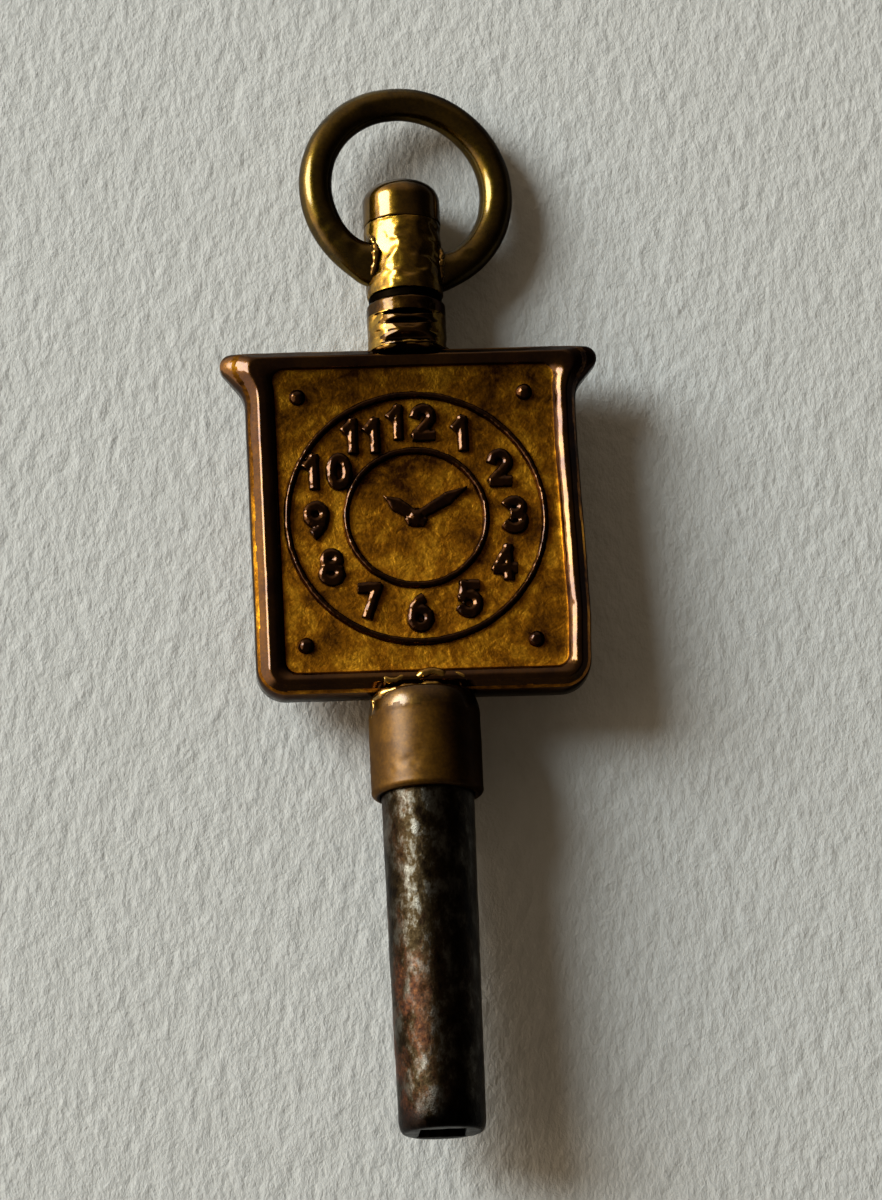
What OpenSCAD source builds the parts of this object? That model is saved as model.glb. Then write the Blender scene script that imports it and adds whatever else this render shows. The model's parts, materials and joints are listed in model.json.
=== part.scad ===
// Winding key for a small clock or watch, with a ring that swivels.
// Millimetres. The origin is the middle of the pipe's mouth, on the winding axis.
// +Y runs up the key to the ring, +X is to the right and +Z comes out of the plate's face.

/* [Pipe] */
// Width of the square socket across its flats
socket_af = 1.5; // [1.1:0.05:2.2]
// Depth of the square socket
socket_depth = 5; // [3:0.25:8]
// Length of round drilling left beyond the square
pilot_len = 1.2; // [0.5:0.1:2]
// How far that drilling lies inside the socket's flats
pilot_inset = 0.05; // [0.02:0.01:0.1]
// Wall of the pipe outside the socket's corners, at the mouth
pipe_wall = 0.43; // [0.35:0.01:0.8]
// Growth of the pipe's diameter from its mouth to the ferrule
pipe_swell = 0.24; // [0.1:0.02:0.6]
// Length of pipe that shows below the ferrule
pipe_show = 11.7; // [8:0.1:18]
// Length of pipe that is let into the ferrule
pipe_seat = 3.1; // [2:0.1:5]
// How far the worn bevel at the mouth comes in from the outside
mouth_bevel = 0.24; // [0.1:0.02:0.3]
// Length of that bevel along the pipe
mouth_bevel_len = 0.5; // [0.2:0.05:1]

/* [Ferrule] */
// Wall of the ferrule around the pipe
ferrule_wall = 0.31; // [0.25:0.01:0.6]
// Thickness of the ferrule's closed end, above the pipe
ferrule_end = 0.5; // [0.4:0.05:1.5]
// Radius of the ferrule's rounded lip and shoulder
lip_r = 0.22; // [0.1:0.02:0.24]

/* [Plate] */
// Width of the plate across its sides, under the ears
plate_w = 11.68; // [9:0.02:15]
// How far each side draws in from there to the bottom
side_draw = 0.07; // [0:0.01:0.5]
// Height of the plate
plate_h = 12.6; // [9:0.1:16]
// Thickness of the plate between its two sunk fields
field_t = 1.2; // [0.8:0.05:1.6]
// Height of the rim above the sunk field
rim_h = 0.3; // [0.15:0.05:0.5]
// Inset of the rim's crest from the outline
crest_in = 0.46; // [0.3:0.02:0.6]
// Width of the crest's narrow flat
crest_w = 0.06; // [0.02:0.01:0.12]
// Width of the rim's inner slope, from its crest to the sunk field
rim_slope = 0.56; // [0.2:0.02:0.6]
// Height of the flat left in the middle of the plate's rounded edge
edge_flat = 0.5; // [0.1:0.02:0.8]
// Radius of the plate's two lower corners
corner_r = 1.05; // [0.6:0.05:2]
// How far each ear stands out beyond the plate's side
ear_reach = 0.85; // [0.7:0.05:2]
// Lean of the ears' undersides from the plate's sides, in degrees
ear_lean = 40; // [30:1:50]
// Radius of the ears' rounded tips
ear_tip_r = 0.4; // [0.3:0.05:0.5]
// Radius of the hollow curve under each ear
ear_foot_r = 1.2; // [0.6:0.1:1.4]

/* [Dial] */
// Height of the dial's relief above the sunk field
dial_h = 0.24; // [0.1:0.02:0.28]
// Width of the dial's two rings
dial_ring_w = 0.26; // [0.16:0.02:0.4]
// Field left between the rim and the outer ring, where they come nearest
dial_margin = 0.1; // [0.04:0.02:0.6]
// Distance between the two rings, from middle to middle
dial_band = 2.06; // [1.6:0.02:2.4]
// Field left between the long hand's tip and the inner ring
hand_gap = 0.18; // [0.1:0.02:0.4]
// Length of the short hand as a share of the long one's
short_hand = 0.64; // [0.4:0.02:0.8]
// Width of the hands at their widest
hand_w = 0.44; // [0.2:0.02:0.6]
// Turn of the long hand from the top of the dial, in degrees
long_turn = 60; // [0:6:354]
// Turn of the short hand from the top of the dial, in degrees
short_turn = 305; // [0:5:355]
// Diameter of the boss that the hands turn on
hub_d = 0.72; // [0.4:0.02:1]
// Diameter of the pellet in each corner of the field
pellet_d = 0.6; // [0.3:0.02:0.8]
// Distance of the pellets' middles from the field's edges
pellet_in = 0.74; // [0.5:0.02:1.2]

/* [Neck] */
// How far the neck stands proud of the sleeve, all round
neck_step = 0.03; // [0:0.01:0.2]
// Height of the neck's top band
band_h = 0.5; // [0.4:0.05:1]
// Height of the thin bead under the top band
thin_bead_h = 0.2; // [0.15:0.01:0.4]
// Height of the wide bead under the thin one
wide_bead_h = 0.56; // [0.4:0.02:1]
// Height of each groove beside the beads
groove_h = 0.16; // [0.1:0.02:0.3]
// Depth of the grooves
groove_depth = 0.36; // [0.15:0.01:0.45]
// How far the wide bead's crest lies below the neck's round
wide_bead_drop = 0.04; // [0.02:0.01:0.1]
// How far the thin bead's crest lies below the neck's round
thin_bead_drop = 0.14; // [0.04:0.01:0.14]
// Wall of the boss that the sleeve turns on, around the pin
boss_wall = 0.55; // [0.15:0.01:0.6]
// Height of that boss
boss_h = 0.27; // [0.15:0.01:0.5]
// Solid brass left in the neck below the pin
neck_floor = 0.7; // [0.3:0.05:1]

/* [Swivel] */
// Diameter of the swivel pin's shank
pin_d = 1.3; // [0.9:0.05:1.8]
// Wall of the sleeve around the pin
sleeve_wall = 0.68; // [0.5:0.02:1]
// Length of the sleeve
sleeve_len = 2.7; // [2:0.1:4]
// How far the pin's head laps over the sleeve's end
head_lap = 0.68; // [0.5:0.02:1]
// Height of the straight band of the head
head_band = 0.95; // [0.5:0.05:1.6]
// Height of the bevel above that band
head_bevel_h = 0.46; // [0.2:0.02:0.8]
// How far that bevel comes in
head_bevel_w = 0.43; // [0.2:0.01:0.8]
// Height of the dome on top of the head
dome_h = 0.24; // [0.15:0.01:0.6]

/* [Ring] */
// Diameter of the ring along the middle of its wire
ring_d = 6.66; // [5.6:0.02:9]
// Diameter of the ring's wire
wire_d = 1.18; // [0.8:0.02:1.3]
// How far the ring's circle lies to the right of the axis, as it was bent
ring_shift = 0.2; // [-0.3:0.05:0.3]
// Height above the sleeve's foot at which the ring's circle crosses the axis
ring_foot = 0.8; // [0.6:0.02:1]
// Turn of the ring about the winding axis as it lies, in degrees
bow_turn = 10.5; // [-45:0.5:45]

/* [Fits] */
// Radial clearance of the sleeve on its pin
running_gap = 0.05; // [0.02:0.01:0.09]
// End float of the sleeve at each of its ends
end_float = 0.04; // [0.02:0.01:0.1]
// Gap of a brazed joint
braze_gap = 0.02; // [0.01:0.01:0.04]
// Plate left on each side of the spigots that locate the neck and the ferrule
spigot_wall = 0.15; // [0.08:0.01:0.2]
// Length of those spigots
spigot_len = 1; // [0.6:0.1:2]

/* [Hidden] */
$fn = 96;

brass = "#a8843a";
dark_brass = "#8a6a30";
red_brass = "#9c713c";
steel = "#6d675e";

// Diameters about the winding axis
pipe_tip_d = socket_af * sqrt(2) + 2 * pipe_wall;
pipe_top_d = pipe_tip_d + pipe_swell;
pilot_d = socket_af - 2 * pilot_inset;
ferrule_bore = pipe_top_d + 2 * braze_gap;
ferrule_d = ferrule_bore + 2 * ferrule_wall;
pin_seat_d = pin_d + 2 * braze_gap;
boss_d = pin_seat_d + 2 * boss_wall;
sleeve_bore = pin_d + 2 * running_gap;
sleeve_d = sleeve_bore + 2 * sleeve_wall;
head_d = sleeve_bore + 2 * head_lap;
neck_d = sleeve_d + 2 * neck_step;
spigot_hole = field_t - 2 * spigot_wall;
spigot_d = spigot_hole - 2 * braze_gap;

// Sizes of the dial on the plate's front field
rim_w = crest_in + rim_slope;
field_x = plate_w / 2 - side_draw - rim_w;
field_y = plate_h / 2 - rim_w;
outer_ring_r = min(field_x, field_y) - dial_margin - dial_ring_w / 2;
inner_ring_r = outer_ring_r - dial_band;
long_hand_len = inner_ring_r - dial_ring_w / 2 - hand_gap;
short_hand_len = short_hand * long_hand_len;
// Where the hands are widest, as a share of their length, and their height as a share of the relief's
hand_belly = 0.62;
hand_rise = 0.8;
// Depth to which the relief is rooted in the plate
relief_root = 0.12;
// Depth to which the rim's inner slope runs on under the field
rim_root = 0.06;
// How far the field's edge reaches in under the rim's inner slope
field_lap = 0.15;

// Heights along the winding axis
ferrule_y0 = pipe_show;
plate_y0 = ferrule_y0 + pipe_seat + ferrule_end;
plate_y1 = plate_y0 + plate_h;
dial_y = (plate_y0 + plate_y1) / 2;
wide_y0 = plate_y1 + groove_h;
wide_y1 = wide_y0 + wide_bead_h;
thin_y0 = wide_y1 + groove_h;
thin_y1 = thin_y0 + thin_bead_h;
neck_y1 = thin_y1 + groove_h + band_h;
boss_y1 = neck_y1 + boss_h;
pin_y0 = plate_y1 + neck_floor;
sleeve_y0 = boss_y1 + end_float;
sleeve_y1 = sleeve_y0 + sleeve_len;
head_y0 = sleeve_y1 + end_float;
ring_y = sleeve_y0 + ring_foot + ring_d / 2;

// Depth by which a cutter runs past the face that it cuts
cut = 1;
// Straight pieces in a drawn arc
arc_steps = 8;
// Point angle of the drill
drill_angle = 118;

// Points on an arc about a centre, from one angle to another.
function arc(centre, r, from, to, steps = arc_steps) =
    [for (i = [0:steps]) let (a = from + (to - from) * i / steps) centre + r * [cos(a), sin(a)]];

// Points round a bead that stands out from radius r by depth, between two heights.
function bead(r, depth, y0, y1, steep = 75) =
    [for (i = [0:arc_steps]) let (a = steep * (2 * i / arc_steps - 1))
        [r + depth * cos(a), (y0 + y1) / 2 + (y1 - y0) / 2 * sin(a)]];

// Lays a shape that is modelled along +Z onto the winding axis, starting at height y.
module on_axis(y) {
    translate([0, y, 0]) rotate([-90, 0, 0]) children();
}

// A turned shape on the winding axis, from points that give radius and height.
module turned(points, y = 0) {
    on_axis(y) rotate_extrude() polygon(points);
}

// A round bar on the winding axis between two heights.
module bar(d, y0, y1) {
    on_axis(y0) cylinder(d = d, h = y1 - y0);
}

// Steel pipe: a slightly tapered bar, drilled and then punched square at its mouth.
module pipe() {
    tip_r = pipe_tip_d / 2;
    top_r = pipe_top_d / 2;
    pipe_y1 = pipe_show + pipe_seat;
    pilot_y1 = socket_depth + pilot_len;
    point_h = pilot_d / 2 / tan(drill_angle / 2);
    color(steel) difference() {
        turned([
            [0, 0],
            [tip_r - mouth_bevel, 0],
            [tip_r, mouth_bevel_len],
            [top_r, pipe_show],
            [top_r, pipe_y1],
            [0, pipe_y1]
        ]);
        translate([-socket_af / 2, -cut, -socket_af / 2])
            cube([socket_af, socket_depth + cut, socket_af]);
        turned([
            [0, 0],
            [pilot_d / 2, 0],
            [pilot_d / 2, pilot_y1],
            [0, pilot_y1 + point_h]
        ]);
    }
}

// Brass ferrule: a cup with a rounded lip that holds the pipe, brazed under the plate on a spigot.
module ferrule() {
    r = ferrule_d / 2;
    bore_r = ferrule_bore / 2;
    length = plate_y0 - ferrule_y0;
    lip = min(lip_r, 0.8 * ferrule_wall);
    color(red_brass) union() {
        turned(concat(
            [[bore_r, 0]],
            arc([r - lip, lip], lip, -90, 0),
            arc([r - lip, length - lip], lip, 0, 90),
            [[0, length], [0, pipe_seat], [bore_r, pipe_seat]]
        ), ferrule_y0);
        bar(spigot_d, plate_y0 - ferrule_end / 2, plate_y0 + spigot_len);
    }
}

// Right half of the plate's outline, drawn in by d all round: lower corner, hollow under the ear, ear tip.
// A corner that is drawn in past its own radius keeps a small round.
function half_outline(d) =
    let (
        side_x = plate_w / 2,
        least_r = rim_slope / 3,
        corner_q = max(corner_r, d + least_r),
        tip_q = max(ear_tip_r, d + least_r),
        out = [cos(ear_lean), -sin(ear_lean)],
        tip = [side_x + ear_reach - ear_tip_r, plate_y1 - ear_tip_r],
        slant = out * tip + ear_tip_r,
        tip_y = plate_y1 - tip_q,
        tip_x = (slant - tip_q - out[1] * tip_y) / out[0],
        foot_x = side_x + ear_foot_r,
        foot_y = (slant + ear_foot_r - out[0] * foot_x) / out[1]
    )
    concat(
        arc([side_x - side_draw - corner_q, plate_y0 + corner_q], corner_q - d, -90, 0),
        arc([foot_x, foot_y], ear_foot_r + d, 180, 180 - ear_lean),
        arc([tip_x, tip_y], tip_q - d, -ear_lean, 90)
    );

// The whole outline, drawn in by d, counter-clockwise.
function outline(d) =
    let (half = half_outline(d), n = len(half))
    concat(half, [for (i = [n - 1:-1:0]) [-half[i][0], half[i][1]]]);

// Section through the front rim as inset and height, from its root under the field out to the plate's edge.
function rim_section() =
    let (
        floor_z = field_t / 2,
        crest_z = floor_z + rim_h,
        edge_z = edge_flat / 2,
        inner = crest_in + crest_w / 2,
        outer = crest_in - crest_w / 2,
        steps = arc_steps / 2
    )
    concat(
        [[rim_w + rim_root, floor_z - rim_root]],
        [for (i = [steps:-1:0]) let (t = i / steps)
            [inner + (rim_slope - crest_w / 2) * t, crest_z - rim_h * t * t]],
        [for (p = arc([0, 0], 1, 90, 0)) [outer * (1 - p[0]), edge_z + (crest_z - edge_z) * p[1]]]
    );

// A ring of the dial, with sloping sides and a narrow flat top.
module dial_ring(r) {
    top = dial_ring_w / 6;
    slope = (dial_ring_w / 2 - top) / dial_h;
    root = top + slope * (dial_h + relief_root);
    rotate_extrude() polygon([
        [r - root, -relief_root],
        [r + root, -relief_root],
        [r + top, dial_h],
        [r - top, dial_h]
    ]);
}

// A hand of the dial: narrow at its tail, widest past its middle, pointed at its tip.
module dial_hand(length, turn) {
    tail = hub_d / 2;
    widest = hand_belly * length;
    rotate([0, 0, -turn]) translate([0, 0, -relief_root])
        linear_extrude(relief_root + hand_rise * dial_h) polygon([
            [-hand_w / 4, -tail],
            [hand_w / 4, -tail],
            [hand_w / 2, widest],
            [0, length],
            [-hand_w / 2, widest]
        ]);
}

// A round button on the field: the cap of a ball that is rooted in the plate.
module button(d) {
    ball_r = (d * d / 4 + dial_h * dial_h) / (2 * dial_h);
    intersection() {
        translate([0, 0, dial_h - ball_r]) sphere(ball_r);
        translate([0, 0, -relief_root]) cylinder(r = d, h = relief_root + dial_h + cut);
    }
}

// A plain clock dial in relief: two rings, two hands on a boss, and a pellet in each corner of the field.
module dial() {
    translate([0, dial_y, field_t / 2]) {
        dial_ring(outer_ring_r);
        dial_ring(inner_ring_r);
        dial_hand(long_hand_len, long_turn);
        dial_hand(short_hand_len, short_turn);
        button(hub_d);
        for (sx = [-1, 1], sy = [-1, 1])
            translate([sx * (field_x - pellet_in), sy * (field_y - pellet_in), 0]) button(pellet_d);
    }
}

// Frame of the plate: the rim of both faces with the rounded edge between them, swept round the outline.
module rim_frame() {
    front = rim_section();
    last = len(front) - 1;
    section = concat(front, [for (i = [last:-1:0]) [front[i][0], -front[i][1]]]);
    rings = len(section);
    count = len(outline(0));
    points = [for (s = section, p = outline(s[0])) [p[0], p[1], s[1]]];
    walls = [
        for (k = [0:rings - 1], i = [0:count - 1])
        let (j = (i + 1) % count, a = k * count, b = (k + 1) % rings * count)
        each [[a + i, a + j, b + j], [a + i, b + j, b + i]]
    ];
    polyhedron(points, walls);
}

// Struck brass plate: flared ears, rounded lower corners, a raised rim round a sunk field on both faces,
// and a dial in relief on the front one.
module key_plate() {
    hole_len = spigot_len + braze_gap;
    color(brass) difference() {
        union() {
            rim_frame();
            translate([0, 0, -field_t / 2]) linear_extrude(field_t) polygon(outline(rim_w - field_lap));
            dial();
        }
        bar(spigot_hole, plate_y0 - cut, plate_y0 + hole_len);
        bar(spigot_hole, plate_y1 - hole_len, plate_y1 + cut);
    }
}

// Brass neck: beads and grooves filed straight across its front and back, a boss for the sleeve on top.
// The file leaves the neck's two sides plain.
module neck() {
    r = neck_d / 2;
    low_r = r - groove_depth;
    front = concat(
        [[low_r, plate_y1]],
        bead(low_r, groove_depth - wide_bead_drop, wide_y0, wide_y1),
        bead(low_r, groove_depth - thin_bead_drop, thin_y0, thin_y1),
        [[low_r, thin_y1 + groove_h / 2], [r + cut, thin_y1 + groove_h], [r + cut, neck_y1]]
    );
    last = len(front) - 1;
    color(brass) difference() {
        union() {
            intersection() {
                bar(neck_d, plate_y1, neck_y1);
                rotate([90, 0, 90]) linear_extrude(neck_d, center = true) polygon(concat(
                    [for (p = front) [p[1], p[0]]],
                    [for (i = [last:-1:0]) [front[i][1], -front[i][0]]]
                ));
            }
            bar(boss_d, neck_y1 - boss_h, boss_y1);
            bar(spigot_d, plate_y1 - spigot_len, plate_y1 + neck_floor / 2);
        }
        bar(pin_seat_d, pin_y0 - braze_gap, boss_y1 + cut);
    }
}

// Brass swivel pin: a domed head that keeps the sleeve on, and a shank brazed into the neck.
module swivel_pin() {
    r = head_d / 2;
    dome_r = r - head_bevel_w;
    dome_y = head_band + head_bevel_h;
    color(dark_brass) union() {
        turned(concat(
            [[0, 0], [r, 0], [r, head_band]],
            [for (p = arc([0, 0], 1, 0, 90)) [dome_r * p[0], dome_y + dome_h * p[1]]]
        ), head_y0);
        bar(pin_d, pin_y0, head_y0 + head_band / 2);
    }
}

// Turns the ring and its sleeve about the winding axis, as they lie.
module bow_pose() {
    rotate([0, bow_turn, 0]) children();
}

// Brass sleeve: the barrel that carries the ring and turns on the swivel pin.
module swivel_sleeve() {
    color(brass) bow_pose() difference() {
        bar(sleeve_d, sleeve_y0, sleeve_y1);
        bar(sleeve_bore, sleeve_y0 - cut, sleeve_y1 + cut);
    }
}

// Brass ring: round wire bent to a circle, its two ends brazed to the sides of the sleeve.
module bow_ring() {
    color(dark_brass) bow_pose() difference() {
        translate([ring_shift, ring_y, 0]) rotate_extrude() translate([ring_d / 2, 0]) circle(d = wire_d);
        bar(sleeve_d + 2 * braze_gap, sleeve_y0 - cut, sleeve_y1 + cut);
    }
}

pipe();
ferrule();
key_plate();
neck();
swivel_pin();
swivel_sleeve();
bow_ring();
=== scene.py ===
import functools
import json
from math import acos, asin, atan2, cos, dist, exp, hypot, pi, radians, remainder, sin, sqrt
import random
import bmesh
import bpy
from mathutils import Matrix, Vector


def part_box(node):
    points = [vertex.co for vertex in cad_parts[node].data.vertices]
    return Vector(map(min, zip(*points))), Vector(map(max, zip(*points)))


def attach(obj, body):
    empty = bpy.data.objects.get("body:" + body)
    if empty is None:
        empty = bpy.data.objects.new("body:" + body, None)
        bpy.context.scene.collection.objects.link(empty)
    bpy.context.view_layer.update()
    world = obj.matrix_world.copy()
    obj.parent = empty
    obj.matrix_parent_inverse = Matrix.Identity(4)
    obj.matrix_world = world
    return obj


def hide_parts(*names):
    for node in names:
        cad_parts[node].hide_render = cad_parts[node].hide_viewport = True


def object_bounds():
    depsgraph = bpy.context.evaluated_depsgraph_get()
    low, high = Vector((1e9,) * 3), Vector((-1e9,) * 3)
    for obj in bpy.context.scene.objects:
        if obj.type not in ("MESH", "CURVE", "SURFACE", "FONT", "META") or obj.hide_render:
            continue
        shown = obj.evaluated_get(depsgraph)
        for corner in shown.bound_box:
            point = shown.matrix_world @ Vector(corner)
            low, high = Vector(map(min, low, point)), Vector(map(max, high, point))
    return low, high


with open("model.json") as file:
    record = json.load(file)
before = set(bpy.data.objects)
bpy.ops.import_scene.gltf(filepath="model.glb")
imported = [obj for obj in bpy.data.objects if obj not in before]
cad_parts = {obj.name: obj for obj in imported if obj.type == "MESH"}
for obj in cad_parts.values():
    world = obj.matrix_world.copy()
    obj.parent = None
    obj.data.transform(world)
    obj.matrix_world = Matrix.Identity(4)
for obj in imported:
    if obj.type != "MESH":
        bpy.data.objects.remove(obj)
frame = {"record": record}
cad_low, cad_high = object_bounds()


# The pipe: a length of drawn steel tube with a square socket punched into its mouth, which goes over the
# winding square. Its end is worn round and its skin is grey, pitted and rust brown in patches.

MM = 1000.0  # pieces are modelled in millimetres and then brought to the frame's metres


def box_mm(cad_node):
    low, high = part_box(cad_node)
    return low * MM, high * MM


def circle(r, y, points):
    """A ring of points round the key's own axis, at the height y."""
    turns = [2 * pi * i / points for i in range(points)]
    return [(r * cos(a), y, r * sin(a)) for a in turns]


def square(half, y, points):
    """The same ring, pushed out to a square of that half width."""
    return [(x / max(abs(x), abs(z)) * half, y, z / max(abs(x), abs(z)) * half)
            for x, _, z in circle(1, y, points)]


def select_only(*pieces):
    """Deselects everything, then selects these pieces, with the first of them active."""
    bpy.ops.object.select_all(action="DESELECT")
    for piece in pieces:
        piece.select_set(True)
    bpy.context.view_layer.objects.active = pieces[0]


def draw_up(name, sections):
    """A ring, extruded from section to section. Both ends are closed, and points that meet are merged."""
    bpy.ops.mesh.primitive_circle_add(vertices=len(sections[0]), radius=1)
    piece = bpy.context.object
    piece.name = piece.data.name = name
    bpy.ops.object.mode_set(mode="EDIT")
    bpy.ops.mesh.select_all(action="SELECT")
    for number, section in enumerate(sections):
        if number:
            bpy.ops.mesh.extrude_edges_move()
        shape = bmesh.from_edit_mesh(piece.data)
        ring = [v for v in shape.verts if v.select]
        for point, place in zip(ring, section):
            point.co = place
        bmesh.update_edit_mesh(piece.data)
    bpy.ops.mesh.select_all(action="SELECT")
    bpy.ops.mesh.remove_doubles(threshold=0.0005)
    bpy.ops.mesh.select_all(action="DESELECT")
    bpy.ops.mesh.select_mode(type="EDGE")
    bpy.ops.mesh.select_non_manifold()
    bpy.ops.mesh.edge_face_add()
    bpy.ops.mesh.select_mode(type="VERT")
    bpy.ops.mesh.select_all(action="SELECT")
    bpy.ops.mesh.normals_make_consistent(inside=False)
    bpy.ops.object.mode_set(mode="OBJECT")
    return piece


def apply_all(piece):
    select_only(piece)
    for modifier in list(piece.modifiers):
        bpy.ops.object.modifier_apply(modifier=modifier.name)


def make_uneven(piece, grain, depth):
    """Swells and hollows of that grain and depth over the whole skin, both in mm."""
    cloud = bpy.data.textures.new(piece.name + "_unevenness", "CLOUDS")
    cloud.noise_scale = grain
    cloud.noise_depth = 2
    swell = piece.modifiers.new("unevenness", "DISPLACE")
    swell.texture = cloud
    swell.texture_coords = "LOCAL"
    swell.strength = depth
    apply_all(piece)


def dent(points, centre, reach, push):
    """Pushes the skin round one point: push is how far and which way in mm, fading out at the reach."""
    for point in points:
        away = (point.co - Vector(centre)).length / reach
        if away < 1:
            point.co += Vector(push) * (1 - away * away) ** 2


def bring_to_frame(piece, smooth_angle):
    """From millimetres to the frame's metres, with the place in the mesh, and shaded smooth."""
    select_only(piece)
    piece.scale = (1 / MM, 1 / MM, 1 / MM)
    bpy.ops.object.transform_apply(location=True, rotation=True, scale=True)
    bpy.ops.object.shade_smooth_by_angle(angle=radians(smooth_angle))


def colour(code):
    """An sRGB hex value as linear RGBA."""
    parts = [int(code[i:i + 2], 16) / 255 for i in (1, 3, 5)]
    return tuple(c / 12.92 if c <= 0.04045 else ((c + 0.055) / 1.055) ** 2.4 for c in parts) + (1.0,)


def add_node(material, kind, links=None, stops=None, **settings):
    """Adds one shader node. links fills its inputs, by name or number, with a plain value, a socket, or a
    node, which stands for its first socket. stops are a ramp's places and hex colours."""
    made = material.node_tree.nodes.new("ShaderNode" + kind)
    for key, value in settings.items():
        setattr(made, key, value)
    for key, value in (links or {}).items():
        if isinstance(value, bpy.types.Node):
            value = value.outputs[0]
        if isinstance(value, bpy.types.NodeSocket):
            material.node_tree.links.new(value, made.inputs[key])
        else:
            made.inputs[key].default_value = value
    if stops:
        ramp = made.color_ramp.elements
        while len(ramp) < len(stops):
            ramp.new(0.5)
        for element, (place, code) in zip(ramp, stops):
            element.position = place
            element.color = colour(code)
    return made


def new_material(name):
    """An empty material, add_node bound to it, and its Object coordinates in millimetres."""
    material = bpy.data.materials.new(name)
    material.use_nodes = True
    material.node_tree.nodes.clear()
    add = functools.partial(add_node, material)
    coords = add("TexCoord")
    return material, add, add("Mapping", {"Vector": coords.outputs["Object"], "Scale": (MM, MM, MM)})


PIPE_POINTS = 96
pipe_high = box_mm("pipe")[1]
pipe_top_r = pipe_high.x
pipe_tip_r = pipe_top_r - 0.12
pipe_shown = box_mm("ferrule")[0].y
pipe_inset = 0.004  # room for the unevenness of its skin
socket_half, socket_depth = 0.75, 5.0
drill_r, drill_y, drill_tip_y = 0.7, 6.2, 6.6
bevel_w, bevel_h = 0.24, 0.5

pipe_profile = [(circle, 0, drill_tip_y), (circle, drill_r, drill_y), (circle, drill_r, socket_depth + 0.02),
                (square, socket_half, socket_depth)]
for worn, y in ((0, 0.5), (0.01, 0.12), (0.05, 0.03), (0.11, 0.0)):  # the socket's sides and rubbed mouth
    pipe_profile.append((square, socket_half + worn, y))
pipe_profile.append((circle, pipe_tip_r - 0.27, 0.0))
for i in range(9):  # the worn bevel of the mouth
    a = radians(10 + 80 * i / 8)
    worn_r, y = pipe_tip_r - bevel_w * (1 - sin(a)), bevel_h * (1 - cos(a)) ** 1.2
    pipe_profile.append((circle, worn_r, y))
for i in range(1, 101):  # the taper, up to where the ferrule begins
    y = bevel_h + (pipe_high.y - bevel_h) * i / 100
    swell = min(1.0, y / pipe_shown)
    pipe_profile.append((circle, pipe_tip_r + (pipe_top_r - pipe_tip_r) * swell - pipe_inset, y))
pipe_profile.append((circle, 0, pipe_high.y))
pipe = draw_up("pipe_tube", [outline(r, y, PIPE_POINTS) for outline, r, y in pipe_profile])
make_uneven(pipe, 1.4, 0.03)
make_uneven(pipe, 0.35, 0.012)
for place, reach, push in (((-0.5, 4.6, 1.45), 0.3, (0.01, 0, -0.06)),  # three deep pits
                           ((0.25, 4.35, 1.5), 0.22, (0, 0, -0.05)),
                           ((0.4, 7.4, 1.5), 0.3, (0, 0, -0.04))):
    dent(pipe.data.vertices, place, reach, push)

# Drawn steel, bare and old: a dull grey that still mirrors a little, eaten to fine pits, with brown rust
# lying in long patches and a darker burnt skin between them.
steel, add, steel_mm = new_material("steel_drawn_rusted")
patches = add("Mapping", {"Vector": steel_mm, "Scale": (1, 0.6, 1), "Location": (0.7, 1.9, 0.3)})
scale_skin = add("TexNoise", {"Vector": patches, "Scale": 2.0, "Detail": 8, "Roughness": 0.68})
rust = add("TexNoise", {"Vector": patches, "Scale": 0.8, "Detail": 7, "Roughness": 0.7, "Distortion": 0.4})
rust_patch = add("ValToRGB", {"Fac": rust}, [(0.47, "#000000"), (0.60, "#ffffff")])
along_pipe = add("SeparateXYZ", {"Vector": steel_mm})
rust_low = add("MapRange", {
    "Value": along_pipe.outputs["Y"], "From Min": 4.5, "From Max": 9.0, "To Min": 1.0, "To Max": 0.25})
rust_side = add("MapRange", {
    "Value": along_pipe.outputs["X"], "From Min": -1.35, "From Max": -0.2, "To Min": 1.0, "To Max": 0.12})
rust_near = add("Math", {0: rust_low, 1: rust_side}, operation="MULTIPLY")
rust_mask = add("VectorMath", {0: rust_patch, "Scale": rust_near}, operation="SCALE")
pits = add("TexNoise", {"Vector": steel_mm, "Scale": 7, "Detail": 5, "Roughness": 0.7})
steel_tone = add("ValToRGB", {"Fac": scale_skin}, [(0.36, "#100a05"), (0.5, "#2e2415"), (0.66, "#68645a")])
rust_tone = add("ValToRGB", {"Fac": pits}, [(0.35, "#20100a"), (0.55, "#583018"), (0.72, "#7c4e28")])
steel_colour = add("Mix", {0: rust_mask, 6: steel_tone, 7: rust_tone}, data_type="RGBA")
# Painted shade: the pipe's right side is painted darker, and the pipe also darkens towards its mouth.
steel_shade_side = add("MapRange", {
    "Value": along_pipe.outputs["X"], "From Min": -0.35, "From Max": 0.75, "To Min": 1.0,
    "To Max": 0.3}, interpolation_type="SMOOTHSTEP")
steel_end = add("MapRange", {
    "Value": along_pipe.outputs["Y"], "From Min": 0.3, "From Max": 1.5, "To Min": 0.12, "To Max": 1.0})
steel_shade_and_end = add("Math", {0: steel_shade_side, 1: steel_end}, operation="MULTIPLY")
steel_base = add("VectorMath", {0: steel_colour.outputs[2], "Scale": steel_shade_and_end}, operation="SCALE")
steel_metal = add("MapRange", {"Value": rust_mask, "To Min": 1.0, "To Max": 0.7})
steel_rough = add("MapRange", {
    "Value": scale_skin, "From Min": 0.3, "From Max": 0.7, "To Min": 0.42, "To Max": 0.24})
steel_dull = add("Math", {0: rust_mask, 1: 0.12, 2: steel_rough}, operation="MULTIPLY_ADD")
steel_relief = add("Math", {0: scale_skin, 1: 1.5, 2: pits}, operation="MULTIPLY_ADD")
steel_bump = add("Bump", {"Height": steel_relief, "Strength": 0.4, "Distance": 0.00004})
steel_shader = add("BsdfPrincipled", {
    "Base Color": steel_base, "Metallic": steel_metal, "Roughness": steel_dull, "Normal": steel_bump,
    "Specular Tint": colour("#dcdcdc")})
add("OutputMaterial", {"Surface": steel_shader})

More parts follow.
